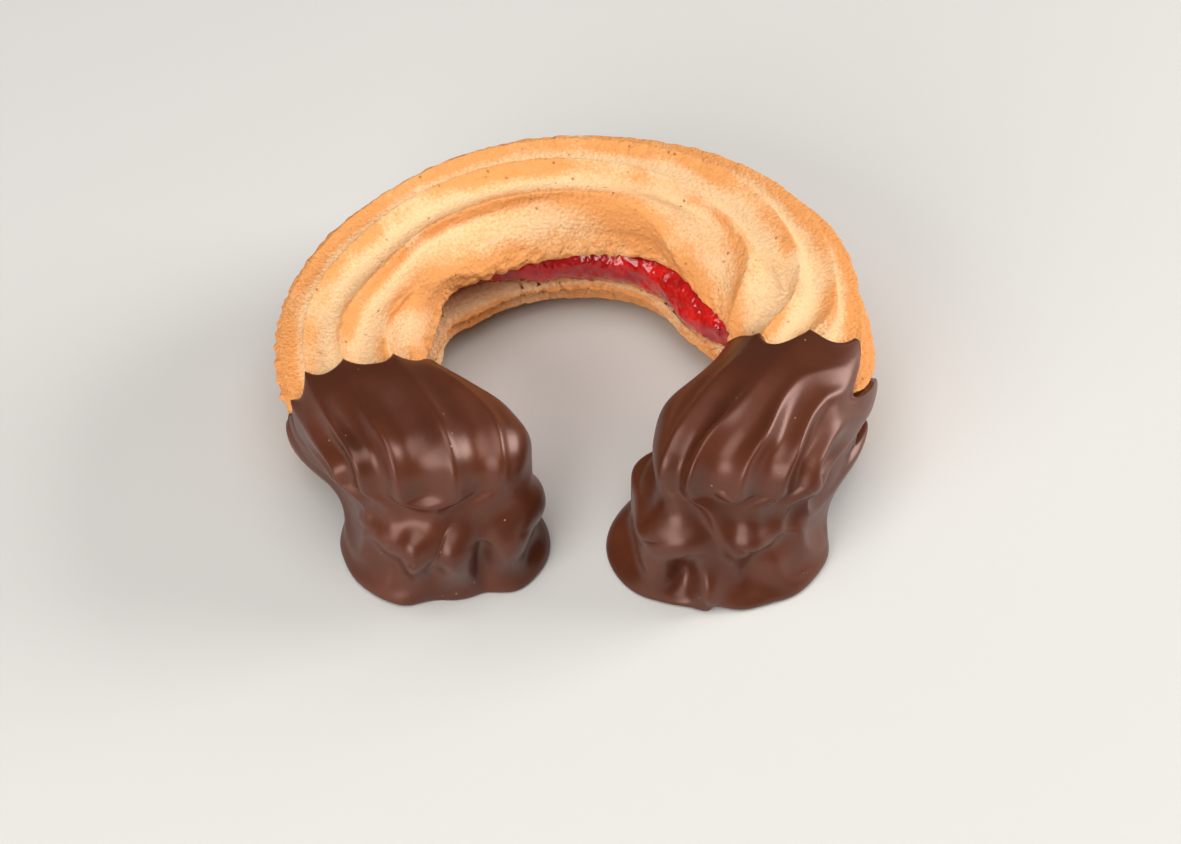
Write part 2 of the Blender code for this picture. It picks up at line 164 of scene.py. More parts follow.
# Chocolate: thickness and lip, how far its ridges stand out from the edge to the end, the averagings
# that round it and the shelf in its front. In a table by side, -1 is the left end and 1 the right.
COAT_GAP = 0.12 * MM
COAT_THICKNESS = 1.2 * MM
LIP_RUN = 0.05
LIP_THICKNESS = 0.5 * MM
LIP_EDGE = 0.2
COAT_RIDGE_FADE = (-2.5 * MM, 0.0 * MM)
FOOT_RIDGE_FADE = (0.5 * MM, 3.0 * MM)
RIDGES = {-1: (0.15, 0.95), 1: (0.05, 1.05)}
RIDGE_RUN = {-1: (0.05, 0.65), 1: (0.15, 0.7)}
POURING = 40
POURING_RUN = (0.04, 0.25)
SETTLING = 9
FRONT_PASSES = 120
FRONT_FADE = (-6.0 * MM, -1.0 * MM)
FRONT_HEIGHTS = ((1.0 * MM, 4.0 * MM), (15.0 * MM, 18.5 * MM))
SHELF_DEPTH = 1.2 * MM
SHELF_HEIGHTS = (9.0 * MM, 12.5 * MM)
SHELF_FADE = (-9.0 * MM, -1.0 * MM)
SHELF_MIDDLE = 13.0 * MM
SHELF_WIDTH = 2.4 * MM
SLIT_PASSES = 60
SLIT_WIDTH = 2.2 * MM
SLIT_FADE = (-3.0 * MM, -0.5 * MM)
NORMAL_PASSES = 6
DOUGH_SHORTER = 4.5 * MM

# Lumps on the ends, in millimetres: place and half widths across the end, up and forward of it, and then
# the size. A size below zero is a dent. Behind the end a waist is drawn in between the two biscuits.
LUMPS = {
    -1: (
        ((2.0, 8.4, 1.0), (5.0, 3.4, 5.0), 1.8),
        ((2.4, 7.4, 1.5), (0.9, 3.0, 4.0), 1.2),
        ((4.8, 6.2, 1.0), (1.3, 2.4, 4.0), -1.5),
        ((7.2, 6.6, 0.0), (1.2, 2.0, 4.0), -1.0),
        ((0.5, 6.0, 1.5), (1.0, 2.6, 4.0), -1.1),
        ((-2.2, 7.0, 1.0), (1.8, 4.2, 4.0), 1.2),
        ((-5.0, 6.4, 1.0), (1.0, 4.0, 5.0), -1.8),
        ((-7.6, 7.6, 0.0), (2.0, 3.8, 4.0), 1.6),
        ((-10.2, 5.0, -1.5), (1.1, 3.0, 4.0), -1.0),
        ((-10.5, 8.5, -8.0), (3.0, 3.0, 4.5), 1.2),
        ((-11.0, 9.3, -4.0), (3.2, 3.4, 3.8), 2.3),
        ((-10.5, 5.5, -3.5), (3.0, 2.5, 4.0), 1.4),
        ((-9.5, 15.5, -13.0), (3.0, 3.5, 4.0), 1.2),
    ),
    1: (
        ((-5.0, 8.6, 1.0), (4.0, 3.2, 5.0), 1.7),
        ((-7.4, 8.0, 1.0), (1.0, 1.6, 4.0), 1.1),
        ((4.2, 8.8, 1.0), (3.0, 2.8, 4.0), 1.3),
        ((-0.6, 7.0, 1.0), (2.2, 2.4, 4.0), -0.5),
        ((-0.8, 3.0, 1.0), (1.2, 2.6, 4.0), 1.6),
        ((-3.8, 4.0, 1.0), (1.4, 2.4, 4.0), -1.8),
        ((-7.0, 4.4, 1.0), (1.8, 2.4, 4.0), 1.3),
        ((3.4, 4.5, 1.0), (1.6, 2.6, 4.0), -1.2),
        ((6.3, 7.4, 0.0), (2.6, 1.5, 4.0), -1.7),
        ((9.4, 9.8, -2.0), (2.6, 1.5, 4.0), -1.5),
        ((-9.0, 6.8, -9.0), (4.5, 3.2, 5.0), 4.6),
        ((-8.0, 15.5, -13.0), (3.0, 4.0, 5.0), 2.0),
        ((9.8, 14.5, -6.5), (2.5, 2.0, 3.0), 1.2),
    ),
}
WAIST_DEPTH = 0.7 * MM
WAIST_HEIGHT = 1.3 * MM
WAIST_FADE = (-5.0 * MM, 0.0 * MM)

# Where the chocolate's edge lies: its distance, shifted by the angle round the strand, with scallops in
# the valleys. On the left, outside, it starts earlier on the lower biscuit.
EDGES = {-1: -45.0 * MM, 1: 42.0 * MM}
EDGE_ANGLES = {
    -1: np.array([0, 45, 70, 100, 125, 180, 260, 330]) * DEG,
    1: np.array([0, 28, 37, 47, 66, 86, 98, 115, 135, 180, 260, 330]) * DEG,
}
EDGE_SHIFTS = {
    -1: np.array([-1.0, 0.6, 0.2, -1.6, -2.0, -3.2, -3.0, -2.2]) * MM,
    1: np.array([-0.8, 2.4, 2.6, -2.6, -1.6, -1.0, 1.0, 1.2, -0.8, -3.2, -1.0, 0.0]) * MM,
}
LOWER_EARLIER = {-1: 4.2 * MM, 1: 0.0}
LOWER_EARLIER_COSINES = (0.2, 0.9)
EDGE_FADE = 12.0 * MM
SCALLOPS = {-1: 1.2 * MM, 1: 1.7 * MM}
SCALLOP_SHARPNESS = 0.7
SCALLOP_FADE = 6.0 * MM
SCALLOP_SINES = (0.1, 0.5)
EDGE_SOFTNESS = 5.0 * DEG
SHIFTS_AVERAGED = 5

# Feet of the chocolate: how far each reaches from its centre towards the directions of FOOT_PLACES, where
# 0 is +X and 90 degrees is +Y.
FOOT_TOP = 8.0 * MM
FOOT_CURVE = (1.5, 3.0)
FOOT_CENTRES = {-1: (-15.7 * MM, -12.1 * MM), 1: (14.5 * MM, -12.1 * MM)}
FOOT_PLACES = np.array([-160, -135, -110, -90, -65, -40, -20, 0, 25, 90, 155]) * DEG
FOOT_REACH = {
    -1: np.array([12.1, 12.6, 12.7, 11.0, 11.3, 13.8, 13.9, 12.9, 11.0, 8.0, 10.5]) * MM,
    1: np.array([12.9, 13.2, 12.5, 12.5, 13.5, 14.9, 15.2, 13.8, 11.0, 8.0, 10.5]) * MM,
}
FOOT_SOFTNESS = 11.0 * DEG
FOOT_RUN = (48.5 * MM, 56.0 * MM)
LOWER_COAT_RIDGES = 0.35
FOOT_SINES = (0.15, 0.8)
FOOT_SQUARENESS = 2.0
FOOT_CUT_OFF = 0.8 * MM
FOOT_SMOOTHING = 0.6
SKIRT_HEIGHT = 0.3 * MM

# Jam: how far its edges are set back, and the lumps and bubbles on its inner side. A lump's row is a
# height, a size and a seed; bubbles lie within these rows and columns, with radii in millimetres.
JAM_END = 60.0 * MM
JAM_OUTER_SETBACK = 1.6 * MM
JAM_INNER_SETBACK = -0.1 * MM
JAM_HIDDEN_SETBACK = 3.2 * MM
JAM_SHOWS_FROM = (-19.0 * MM, -4.0 * MM)
JAM_SHOWS_TO = (25.0 * MM, 36.0 * MM)
JAM_POWERS = (0.9, 0.8)
JAM_INSIDE = (0.1, 0.6)
JAM_LUMPS = ((0.25 * MM, 2.2 * MM, 5), (0.10 * MM, 0.7 * MM, 9))
BUBBLE_SEED = 4
BUBBLE_ROWS = (260, 560)
BUBBLE_COLUMNS = (34, 62)
BUBBLE_RADII = (0.14, 0.32)
BUBBLE_HEIGHT = 0.7

# Finishes: spots of noise or cells in a metre, and the height of the fine relief.
DOUGH_PATCHES = 260.0
DOUGH_SPECKLE = 2600.0
DOUGH_PORES = 900.0
DOUGH_PORE_PATCHES = 420.0
DOUGH_CRUMB = 2400.0
DOUGH_GRIT = 2300.0
DOUGH_RELIEF = 0.28 * MM
JAM_CLOUD = 420.0
JAM_RIPPLE = 900.0
JAM_RELIEF = 0.2 * MM
COAT_CLOUD = 120.0
COAT_DOTS = 620.0
COAT_DOT_PATCHES = 300.0
COAT_GRAIN = 700.0
COAT_RELIEF = 0.08 * MM

# Mesh fineness. The dough's rings lie close together up to OPEN_BEYOND past the chocolate's edges.
OPEN_STEP = 0.24 * MM
OPEN_BEYOND = (1.5 * MM, 5.5 * MM)
COATED_STEP = 1.2 * MM
DOME_COLUMNS = 190
FLAT_COLUMNS = 10
JAM_ROWS = 700
JAM_COLUMNS = 96
COAT_STEP = 0.2 * MM
LIP_ROWS = 10
END_SAMPLES = 2000
LINING_ROWS = 14
LINING_CROWDING = 0.8
TIER_COLUMNS = 200
GAP_COLUMNS = 24
RAW_COLUMNS = 700

# Camera: the photograph's viewing angle, from the front and well above.
CAMERA_PLACE = (0.00152, -0.26066, 0.30798)
CAMERA_LIFT = 50.0 * DEG
CAMERA_LENS = 105.6
CAMERA_SENSOR = 36.0

# Lamps: azimuth and lift in degrees, side in metres, and the setting that holds the power.
LAMP_DISTANCE = 0.6
LAMP_COLOUR = (1.0, 0.97, 0.93)
LAMPS = {
    "lamp_top": (-100.0, 76.0, 0.5, "top_power"),
    "lamp_right": (14.0, 26.0, 0.3, "right_power"),
    "lamp_front": (-124.0, 26.0, 0.4, "front_power"),
}


def ease(value, low, high):
    """0 below low, 1 above high and a smooth step between."""
    t = np.clip((value - low) / (high - low), 0, 1)
    return t * t * (3 - 2 * t)


def bulges(distance, rows):
    """Sum of bell-shaped bulges, each a place, a length and a size in millimetres."""
    return sum(
        size * MM * np.exp(-(((distance - place * MM) / (length * MM)) ** 2))
        for place, length, size in rows
    )


def signed_power(value, power):
    return np.sign(value) * np.abs(value) ** power


def running_sum(rate, distance):
    """Integral of the rate along the distance by the trapezoid rule, zero at the back."""
    steps = (rate[1:] + rate[:-1]) / 2 * np.diff(distance)
    total = np.concatenate([[0.0], np.cumsum(steps)])
    return total - np.interp(0.0, distance, total)


def plan_curve():
    """Samples of distance, x, y and heading, from the bend added up along the strand."""
    distance = np.linspace(-CURVE_REACH, CURVE_REACH, CURVE_SAMPLES) * DOUGH_END
    away = np.abs(distance)
    bend = 1 / RING_RADIUS + (1 / SHOULDER_RADIUS - 1 / RING_RADIUS) * ease(away, *SHOULDER_RISE)
    bend = bend + (1 / TIP_RADIUS - 1 / SHOULDER_RADIUS) * ease(away, *SHOULDER_FALL)
    heading = running_sum(bend, distance)
    x = running_sum(np.cos(heading), distance)
    y = running_sum(-np.sin(heading), distance) + BACK_Y
    return distance, x, y, heading


CURVE = plan_curve()


def crest_turn():
    """Samples of distance and of the crests' turn: the listed turns joined by straight lines, then averaged
    over a few millimetres so that the ridges bend softly."""
    distance = np.linspace(-CURVE_REACH, CURVE_REACH, TWIST_SAMPLES) * DOUGH_END
    near = np.linspace(-1, 1, TWISTS_AVERAGED) * TWIST_SOFTNESS
    return distance, np.mean([np.interp(distance + step, TWIST_PLACES, TWIST) for step in near], axis=0)


TURN = crest_turn()


def station(distance):
    """Plan position at a distance and the unit direction across the strand, outwards."""
    x, y, heading = (np.interp(distance, CURVE[0], row) for row in CURVE[1:])
    across = heading - np.sign(distance) * END_FACE_TURN * ease(np.abs(distance), *END_FACE_RUN)
    return x, y, np.sin(across), np.cos(across)


def end_direction(side):
    """Unit plan direction along the strand, out of its left (-1) or right (+1) end."""
    heading = np.interp(side * DOUGH_END, CURVE[0], CURVE[3])
    return side * np.array([np.cos(heading), -np.sin(heading), 0.0])


def half_widths(distance, lower):
    """Outer and inner half width of the strand."""
    away = np.abs(distance)
    wider = TIP_WIDENING * ease(away, *TIP_WIDENING_RUN)
    slimmer = UNDER_COAT_SLIMMING * ease(away, *UNDER_COAT_RUN)
    outer = OUTER_HALF + bulges(distance, OUTER_BULGES) + OUTER_TIP_SHARE * wider - slimmer
    inner = INNER_HALF + bulges(distance, INNER_BULGES) + wider - slimmer
    if lower:
        outer = outer - LOWER_NARROWER + bulges(distance, LOWER_OUTER_BULGES)
        inner = inner - LOWER_INNER_SHARE * LOWER_NARROWER + bulges(distance, LOWER_INNER_BULGES)
    return outer, inner


def rounding(distance, end, opening):
    """Scale of the section towards a blunt end: 1 along the strand, the opening at the end."""
    t = np.clip((np.abs(distance) - (end - END_ROUNDING)) / END_ROUNDING, 0, 1)
    return opening + (1 - opening) * (1 - t**END_POWER) ** (1 / END_POWER)


def flat_height(y, lower):
    """Height of a biscuit's flat baked face, which tilts a little towards the back."""
    return LOWER_FLAT + LOWER_TILT * y if lower else UPPER_FLAT + UPPER_TILT * y


def dome_angles(lower, count):
    """Angles round the strand over a biscuit's dome and its two flanks."""
    low, high = (180 * DEG - FLANK, 360 * DEG + FLANK) if lower else (-FLANK, 180 * DEG + FLANK)
    return np.linspace(low, high, count)[None, :]


def crest_angle(number, distance, lower):
    """Angle round the strand of a crest number at a distance. On the upper biscuit the crests gather on
    the inner side, and on its right they crowd together and draw apart again."""
    turn = np.interp(distance, *TURN)
    angle = CREST_STEP * (number - TWIST_CREST) + turn
    if lower:
        return angle
    last_free = CREST_STEP * (LAST_FREE_CREST - TWIST_CREST) + turn
    start = np.maximum(GATHER_START + GATHER_TURN * distance, last_free + GATHER_CLEARANCE)
    gathered = GATHER * ease(angle, start, start + GATHER_WIDTH)
    crowded = sum(
        turned * ease(distance, *rise) * (1 - ease(distance, *fall))
        for turned, rise, fall in CROWDS
    )
    return angle + gathered + crowded * (1 - ease(angle, *CROWD_ANGLES))


def crest_number(angle, distance, lower):
    """Crest number at an angle: the crest angle grows with the number, so halving an interval finds it."""
    angle, distance = np.broadcast_arrays(angle, distance)
    low, high = (np.full(angle.shape, limit) for limit in CREST_SEARCH)
    for _ in range(HALVINGS):
        middle = (low + high) / 2
        before = crest_angle(middle, distance, lower) < angle
        low = np.where(before, middle, low)
        high = np.where(before, high, middle)
    return (low + high) / 2


def ridge_wave(number, roundness):
    """0 at a crest and 1 in mid valley: a sine whose crests are rounded off."""
    sine = np.abs(np.sin(np.pi * number))
    depth = np.sqrt(sine**2 + roundness**2) - roundness
    deepest = np.sqrt(1 + roundness**2) - roundness
    return (depth / deepest) ** RIDGE_SHARPNESS


def ridge_cut(angle, number, distance, lower, roundness):
    """Depth of the surface below the crests: deepest in a wide valley, less on the full inner flank
    beside each end."""
    first = np.floor(number)
    width = crest_angle(first + 1, distance, lower) - crest_angle(first, distance, lower)
    deep = np.clip(width / CREST_STEP, *DEPTH_LIMITS)
    if not lower:
        beside = 1 - ease(distance, *LEFT_FILL_FADE) + ease(distance, *RIGHT_FILL_FADE)
        deep = deep * (1 - FLANK_FILL * ease(angle, *FLANK_FILL_ANGLES) * beside)
    return RIDGE_DEPTH * deep * ridge_wave(number, roundness)


def angle_across(angle, small, power, up):
    """Angle of the same place across on a full section, so that the ridges run straight on over a blunt
    end: the cosine is scaled with the section, and below the rim the angle moves as the rim's does."""
    cosine = np.cos(angle) * small ** (1 / power)
    domed = np.arctan2(up * np.sqrt(np.clip(1 - cosine**2, 0, 1)), cosine) % (360 * DEG)
    moved = np.arccos(np.clip(small ** (1 / power), 0, 1))
    under = angle + np.where(np.cos(angle) * up > 0, moved, -moved)
    return np.where(np.sin(angle) * up > 0, domed, under)


def strand_point(angle, distance, lower, end, opening, grow=0.0, ridges=1.0, standing=False):
    """Point of a biscuit's skin, grown outwards: a flattened superellipse on a flat baked face, cut by
    the ridges and rounded off at the end. Standing, it turns into a broad block on the ground."""
    x, y, across_x, across_y = station(distance)
    small = rounding(distance, end, opening)
    outer, inner = half_widths(distance, lower)
    cosine, sine = np.cos(angle), np.sin(angle)
    up = -1.0 if lower else 1.0
    half = np.where(cosine > 0, outer, inner) + grow
    reach = (LOWER_DROP if lower else UPPER_RISE) + grow
    equator = LOWER_EQUATOR if lower else UPPER_EQUATOR
    base = flat_height(y, lower) + up * equator
    block = ease(np.abs(distance), *FOOT_RUN) if standing else 0.0
    foot = block * ease(np.abs(sine), *FOOT_SINES)
    power = 2 / ((LOWER_POWER if lower else UPPER_POWER) + FOOT_SQUARENESS * block)
    reach = reach + (base + FOOT_CUT_OFF - reach) * block
    small_up = small + (1 - small) * block
    across = half * signed_power(cosine, power)
    domed = sine * up > 0
    rise = np.where(domed, reach * np.abs(sine) ** power, -equator * np.abs(sine) / np.sin(FLANK))
    at_rim = ease(-sine * up, -RIM_BLEND, np.sin(FLANK))
    seen = angle_across(angle, small, power, up)
    number = crest_number(seen, distance, lower)
    cut = ridge_cut(seen, number, distance, lower, CREST_ROUNDING) * ridges
    cut = cut * (1 - RIM_SMOOTHING * at_rim) * (1 - FOOT_SMOOTHING * foot)
    keep = 1 - cut / np.hypot(across, np.where(domed, rise, 0.0))
    across = across * keep * small
    rise = np.where(domed, rise * keep * small_up, rise)
    return np.stack([x + across_x * across, y + across_y * across, base + up * rise], axis=-1)


def edge_shift(row, angle, number):
    """How far the rows move along the strand, so that one of them is the chocolate's edge: further
    out in the valleys, and fading towards the end and towards the open part of the strand."""
    shift = np.zeros(np.broadcast(row, angle).shape)
    for side, edge in EDGES.items():
        places, sizes = EDGE_ANGLES[side], EDGE_SHIFTS[side]
        near = angle + np.linspace(-1, 1, SHIFTS_AVERAGED)[:, None, None] * EDGE_SOFTNESS
        wanted = np.interp(near, places, sizes, period=360 * DEG).mean(axis=0)
        past = side * (row - edge)
        fade = np.where(past > 0, 1 - past / (DOUGH_END - side * edge), 1 + past / EDGE_FADE)
        scallops = side * SCALLOPS[side] * np.abs(np.sin(np.pi * number)) ** SCALLOP_SHARPNESS
        scallops = scallops * np.clip(1 - np.maximum(past, 0) / SCALLOP_FADE, 0, 1) ** 2
        scallops = scallops * ease(np.sin(angle), *SCALLOP_SINES)
        shift = shift + (wanted + scallops) * np.clip(fade, 0, 1)
    return shift


def lattice(x, y, z, seed):
    """A number from -1 to 1 for each whole-number point, scrambled by multiplying and shifting bits."""
    mixed = x * np.int64(73856093) ^ y * np.int64(19349663) ^ z * np.int64(83492791)
    mixed = mixed ^ np.int64(seed * 2654435)
    mixed = (mixed ^ (mixed >> 13)) * np.int64(1274126177) & np.int64(0xFFFFFFFF)
    mixed = (mixed ^ (mixed >> 15)) * np.int64(668265263) & np.int64(0xFFFFFFFF)
    return mixed / 2147483647.5 - 1


def grain(points, size, seed):
    """Smooth noise from -1 to 1: lattice numbers one size apart, blended by smooth steps."""
    scaled = points / size
    cell = np.floor(scaled).astype(np.int64)
    t = scaled - cell
    t = t * t * (3 - 2 * t)
    total = 0.0
    for corner in range(8):
        step = (corner & 1, corner >> 1 & 1, corner >> 2)
        weight = 1.0
        for axis in range(3):
            weight = weight * (t[..., axis] if step[axis] else 1 - t[..., axis])
        total = total + weight * lattice(*(cell[..., axis] + step[axis] for axis in range(3)), seed)
    return total


def rough(points, size, seed):
    """Sum of noises, each half the size and half the strength of the one before."""
    return sum(grain(points, size / 2**n, seed + n) / 2**n for n in range(GRAIN_LAYERS))


def ring_normals(points):
    """Unit normals of a grid of rings, from the slopes along and round it, turned outwards."""
    along = np.gradient(points, axis=0)
    round_it = np.roll(points, -1, axis=1) - np.roll(points, 1, axis=1)
    normal = np.cross(round_it, along)
    normal /= np.maximum(np.linalg.norm(normal, axis=-1, keepdims=True), 1e-12)
    middle = points.mean(axis=1, keepdims=True)
    sign = np.sign(np.sum(normal * (points - middle), axis=(0, 1, 2)))
    return normal * sign


def ladder(ring, top):
    """Quads across a thin closed ring, from its topmost point down both of its sides."""
    half = len(ring) // 2
    left = ring[(top + np.arange(half)) % len(ring)]
    right = ring[(top - 1 - np.arange(half)) % len(ring)]
    return np.stack([right[:-1], left[:-1], left[1:], right[1:]], axis=-1)


def new_object(name, data):
    """Object of the data, linked to the scene."""
    made = bpy.data.objects.new(name, data)
    bpy.context.scene.collection.objects.link(made)
    return made


def ring_skin(name, rings, attributes):
    """Closed mesh through the rings: quads between neighbours, and rungs across the first and the last
    ring. Every attribute has one number for each point. Faces point outwards."""
    rows, columns = rings.shape[:2]
    points = rings.reshape(-1, 3) - MIDDLE
    number = np.arange(rows * columns).reshape(rows, columns)
    ahead = np.roll(number, -1, axis=1)
    sides = np.stack([number[:-1], ahead[:-1], ahead[1:], number[1:]], axis=-1).reshape(-1, 4)
    first = ladder(number[0], rings[0, :, 2].argmax())[:, ::-1]
    last = ladder(number[-1], rings[-1, :, 2].argmax())
    quads = np.concatenate([sides, first, last])
    volume = 0.0
    for corners in (quads[:, [0, 1, 2]], quads[:, [0, 2, 3]]):
        a, b, c = (points[corners[:, i]] for i in range(3))
        volume += np.sum(a * np.cross(b, c))
    mesh = bpy.data.meshes.new(name)
    mesh.from_pydata(points.tolist(), [], (quads if volume > 0 else quads[:, ::-1]).tolist())
    for label, values in attributes.items():
        layer = mesh.attributes.new(label, "FLOAT", "POINT")
        layer.data.foreach_set("value", values.ravel().astype(np.float32))
    mesh.shade_smooth()
    return new_object(name, mesh)


def dress(piece, material, node):
    """The piece takes the place of a packed node, with its finish."""
    piece.data.materials.append(material)
    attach(piece, "root")
    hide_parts(node)


class Signal:
    """One output of a shader node. Sums, differences and products of signals add Math nodes."""

    def __init__(self, recipe, socket):
        self.recipe = recipe
        self.socket = socket

    def math(self, operation, *values):
        return self.recipe.node("ShaderNodeMath", {"operation": operation}, dict(enumerate(values)))

    def __add__(self, other):
        return self.math("ADD", self, other)

    def __radd__(self, other):
        return self.math("ADD", other, self)

    def __sub__(self, other):
        return self.math("SUBTRACT", self, other)

    def __rsub__(self, other):
        return self.math("SUBTRACT", other, self)

    def __mul__(self, other):
        return self.math("MULTIPLY", self, other)

    def __rmul__(self, other):
        return self.math("MULTIPLY", other, self)

    def step(self, low, high):
        """0 below low, 1 above high and a smooth step between."""
        return self.recipe.node(
            "ShaderNodeMapRange",
            {"interpolation_type": "SMOOTHSTEP"},
            {"Value": self, "From Min": low, "From Max": high},
        )


class Recipe:
    """Node tree of one material, with constant values set straight on its shader."""

    def __init__(self, name, **constants):
        self.material = bpy.data.materials.new(name)
        self.material.use_nodes = True
        self.tree = self.material.node_tree
        self.shader = self.tree.nodes["Principled BSDF"]
        for socket, value in constants.items():
            self.shader.inputs[socket.replace("_", " ")].default_value = value

    def feed(self, socket, value):
        if isinstance(value, Signal):
            self.tree.links.new(value.socket, socket)
        else:
            socket.default_value = value

    def node(self, kind, settings=None, sockets=None, output=0):
        """Adds a node: its settings first, then the value or link of each socket."""
        made = self.tree.nodes.new(kind)
        for setting, value in (settings or {}).items():
            setattr(made, setting, value)
        for socket, value in (sockets or {}).items():
            self.feed(made.inputs[socket], value)
        return Signal(self, made.outputs[output])

    def mix(self, factor, first, second):
        """Colour between two colours."""
        sockets = {0: factor, 6: first, 7: second}
        return self.node("ShaderNodeMix", {"data_type": "RGBA"}, sockets, 2)

    def attribute(self, name):
        return self.node("ShaderNodeAttribute", {"attribute_name": name}, output="Fac")

    def place(self):
        return self.node("ShaderNodeTexCoord", output="Object")

    def noise(self, scale, detail=3.0, roughness=0.55):
        sockets = {"Vector": self.place(), "Scale": scale, "Detail": detail, "Roughness": roughness}
        return self.node("ShaderNodeTexNoise", None, sockets)

    def cells(self, scale):
        sockets = {"Vector": self.place(), "Scale": scale}
        return self.node("ShaderNodeTexVoronoi", None, sockets, "Distance")

    def bump(self, height, distance, strength):
        sockets = {"Height": height, "Distance": distance, "Strength": strength}
        return self.node("ShaderNodeBump", None, sockets)

    def finish(self, **links):
        """Links what changes over the surface to the shader and gives the material."""
        for socket, value in links.items():
            self.feed(self.shader.inputs[socket.replace("_", " ")], value)
        return self.material


def dough_rows():
    """Distances of the rings: close together where the dough shows, wide apart under the chocolate."""
    left, right = EDGES[-1] - OPEN_BEYOND[0], EDGES[1] + OPEN_BEYOND[1]
    end = DOUGH_END - DOUGH_SHORTER
    shown = np.linspace(left, right, int((right - left) / OPEN_STEP))
    before = np.linspace(-end, left, int((left + end) / COATED_STEP))[:-1]
    after = np.linspace(right, end, int((end - right) / COATED_STEP))[1:]
    return np.concatenate([before, shown, after])[:, None]


def dough_piece(name, lower, dough):
    """One piped crescent: the ridged dome of strand_point, closed by the flat baked face. The crumb's
    relief, strongest at the rims, is pushed out along its normals, and nothing reaches below the ground.
    The toast attribute says how brown it is."""
    settings = bpy.context.scene.crescent_dough
    rows = dough_rows()
    angle = dome_angles(lower, DOME_COLUMNS)
    number = crest_number(angle, rows, lower)
    dome = strand_point(angle, rows, lower, DOUGH_END - DOUGH_SHORTER, DOUGH_OPENING)
    share = (np.arange(1, FLAT_COLUMNS + 1) / (FLAT_COLUMNS + 1))[None, :, None]
    flat = dome[:, -1:] * (1 - share) + dome[:, :1] * share
    rings = np.concatenate([dome, flat], axis=1)
    sine = np.sin(angle) * (-1 if lower else 1)
    edge = 1 - ease(sine, *EDGE_SINES)
    crest = 1 - ridge_wave(number, CREST_ROUNDING)
    soft = rough(dome, SOFT_SIZE, SOFT_SEED)
    everywhere, on_crests, at_rims = CRUMB_SHARES
    crumb = settings.crumb * (everywhere + on_crests * crest + at_rims * edge)
    relief = SOFT_HEIGHT * soft + crumb * rough(dome, CRUMB_SIZE, CRUMB_SEED)
    normals = ring_normals(rings)
    rings[:, :DOME_COLUMNS] += normals[:, :DOME_COLUMNS] * relief[..., None]
    rings[..., 2] = np.maximum(rings[..., 2], 0.0)
    band = np.exp(-(((number - np.round(number) - BAND_OFFSET) / BAND_WIDTH) ** 2))
    toast = band * (BAND_TOASTS[0] + BAND_TOASTS[1] * soft)
    toast = toast + (LOWER_RIM_TOAST if lower else UPPER_RIM_TOAST) * (1 - ease(sine, *RIM_SINES))
    toast = toast + SOFT_TOAST * soft
    if not lower:
        beside = 1 - ease(angle, *OUTER_SIDE_ANGLES) + INNER_SIDE_SHARE * ease(angle, *INNER_SIDE_ANGLES)
        toast = toast + SIDE_TOAST * beside
    flat_toast = np.zeros((rings.shape[0], FLAT_COLUMNS))
    attributes = {"toast": np.concatenate([toast, flat_toast], axis=1)}
    dress(ring_skin(name, rings, attributes), dough_material(dough, settings), name)


def dough_material(name, settings):
    """Baked shortbread: cream in the valleys, toasted along the crests, with fine crumb and pores. The
    pores and the crumb's hollows carry painted shade.
    """
    recipe = Recipe(name, Roughness=0.82, IOR=1.42)
    toast = recipe.attribute("toast")
    patches = recipe.noise(DOUGH_PATCHES, 4.0)
    speckle = recipe.noise(DOUGH_SPECKLE, 3.0, 0.7)
    browned = (toast + 0.5 * (patches - 0.5) + 1.6 * (speckle - 0.5)).step(0.05, 0.9)
    base = recipe.mix(browned, settings.cream, settings.toasted)
    pores = recipe.cells(DOUGH_PORES)
    # Painted shade: the small pits, which the bump presses in, are darkened towards the pore shade colour.
    hole = (1 - pores.step(0.06, 0.2)) * recipe.noise(DOUGH_PORE_PATCHES, 2.0).step(0.52, 0.62)
    base = recipe.mix(hole * 0.6, base, settings.pore_shade)
    crumb = recipe.noise(DOUGH_CRUMB, 4.0, 0.75)
    # Painted shade: where the crumb's relief is low, the colour is pulled a little towards the toasted
    # colour.
    base = recipe.mix((0.62 - crumb).step(0.0, 0.3) * 0.15, base, settings.toasted)
    grit = recipe.cells(DOUGH_GRIT)
    height = crumb + 0.6 * grit - 0.8 * hole
    return recipe.finish(
        Base_Color=base,
        Roughness=0.74 + 0.16 * crumb,
        Normal=recipe.bump(height, DOUGH_RELIEF, 1.0),
    )


